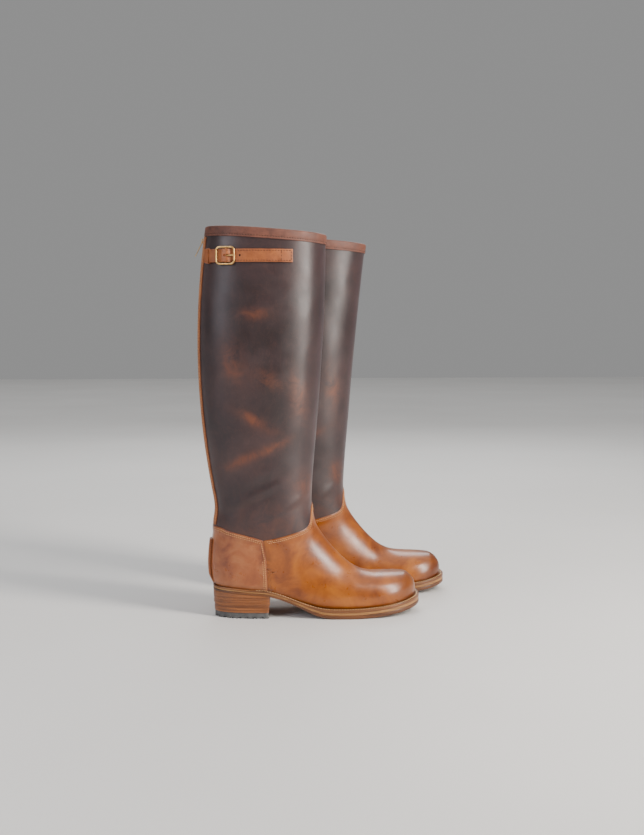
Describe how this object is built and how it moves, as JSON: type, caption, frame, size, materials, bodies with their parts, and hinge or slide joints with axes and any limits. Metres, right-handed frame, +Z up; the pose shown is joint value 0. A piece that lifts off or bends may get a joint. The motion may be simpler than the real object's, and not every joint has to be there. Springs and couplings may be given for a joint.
{
  "type": "riding boots",
  "caption": "Pair of tall leather riding boots with dark shafts, tan feet, zips up the back, buckled straps and stacked heels.",
  "frame": {"origin": "on the floor, at the centre of the pair's overall box", "axes": "+X towards the toes, +Y towards the wearer's left, +Z up"},
  "size_m": [0.3666, 0.248, 0.5242],
  "materials": {
    "shaft_leather": "dark waxed pull-up leather, soft sheen",
    "vamp_leather": "tan vegetable-tanned leather, polished",
    "counter_leather": "reddish tan leather, polished",
    "trim_leather": "reddish brown leather, stitched",
    "strap_leather": "tan bridle leather, stitched edges",
    "lining_leather": "natural lining leather, matte",
    "stiffener_board": "leather board",
    "welt_leather": "waxed welt leather",
    "sole_leather": "sole leather, burnished edge",
    "heel_leather": "stacked leather lifts, burnished",
    "rubber": "moulded grey rubber",
    "cork": "cork granulate",
    "steel": "rolled steel",
    "brass": "polished brass",
    "zip_tape": "woven tape with metal teeth"
  },
  "bodies": {
    "root": {"right_shaft": "shaft_leather", "right_shaft_lining": "lining_leather", "right_top_binding": "trim_leather", "right_zip_facing_outer": "trim_leather", "right_zip_facing_inner": "trim_leather", "right_zip_tape_outer": "zip_tape", "right_zip_tape_inner": "zip_tape", "right_counter": "counter_leather", "right_heel_stiffener": "stiffener_board", "right_spur_rest": "strap_leather", "right_vamp": "vamp_leather", "right_foot_lining": "lining_leather", "right_toe_puff": "stiffener_board", "right_welt": "welt_leather", "right_midsole": "sole_leather", "right_outsole": "sole_leather", "right_insole": "lining_leather", "right_sock_liner": "lining_leather", "right_cork_filler": "cork", "right_shank": "steel", "right_seat_lift": "heel_leather", "right_heel_lift_upper": "heel_leather", "right_heel_lift_lower": "heel_leather", "right_heel_toplift": "rubber", "right_strap": "strap_leather", "right_strap_chape": "strap_leather", "right_buckle_frame": "brass", "left_shaft": "shaft_leather", "left_shaft_lining": "lining_leather", "left_top_binding": "trim_leather", "left_zip_facing_outer": "trim_leather", "left_zip_facing_inner": "trim_leather", "left_zip_tape_outer": "zip_tape", "left_zip_tape_inner": "zip_tape", "left_counter": "counter_leather", "left_heel_stiffener": "stiffener_board", "left_spur_rest": "strap_leather", "left_vamp": "vamp_leather", "left_foot_lining": "lining_leather", "left_toe_puff": "stiffener_board", "left_welt": "welt_leather", "left_midsole": "sole_leather", "left_outsole": "sole_leather", "left_insole": "lining_leather", "left_sock_liner": "lining_leather", "left_cork_filler": "cork", "left_shank": "steel", "left_seat_lift": "heel_leather", "left_heel_lift_upper": "heel_leather", "left_heel_lift_lower": "heel_leather", "left_heel_toplift": "rubber", "left_strap": "strap_leather", "left_strap_chape": "strap_leather", "left_buckle_frame": "brass"},
    "right_slider": {"right_zip_slider": "brass"},
    "right_pull": {"right_zip_pull": "brass"},
    "right_prong": {"right_buckle_prong": "brass"},
    "left_slider": {"left_zip_slider": "brass"},
    "left_pull": {"left_zip_pull": "brass"},
    "left_prong": {"left_buckle_prong": "brass"}
  },
  "joints": [
    {"name": "right_zip", "type": "hinge", "parent": "root", "child": "right_slider", "pos_m": [0.87035, -0.06908, 0.366], "axis": [0, -1, 0], "range_deg": [0, 16.8]},
    {"name": "right_pull_swing", "type": "hinge", "parent": "right_slider", "child": "right_pull", "pos_m": [-0.17239, -0.06908, 0.50526], "axis": [0, 1, 0], "range_deg": [-12, 130]},
    {"name": "right_prong_swing", "type": "hinge", "parent": "root", "child": "right_prong", "pos_m": [-0.14333, -0.11424, 0.4835], "axis": [0, 0, -1], "range_deg": [0, 60]},
    {"name": "left_zip", "type": "hinge", "parent": "root", "child": "left_slider", "pos_m": [0.93135, 0.07092, 0.366], "axis": [0, -1, 0], "range_deg": [0, 16.8]},
    {"name": "left_pull_swing", "type": "hinge", "parent": "left_slider", "child": "left_pull", "pos_m": [-0.11139, 0.07092, 0.50526], "axis": [0, 1, 0], "range_deg": [-12, 130]},
    {"name": "left_prong_swing", "type": "hinge", "parent": "root", "child": "left_prong", "pos_m": [-0.08228, 0.11258, 0.4835], "axis": [0, 0, 1], "range_deg": [0, 60]}
  ]
}
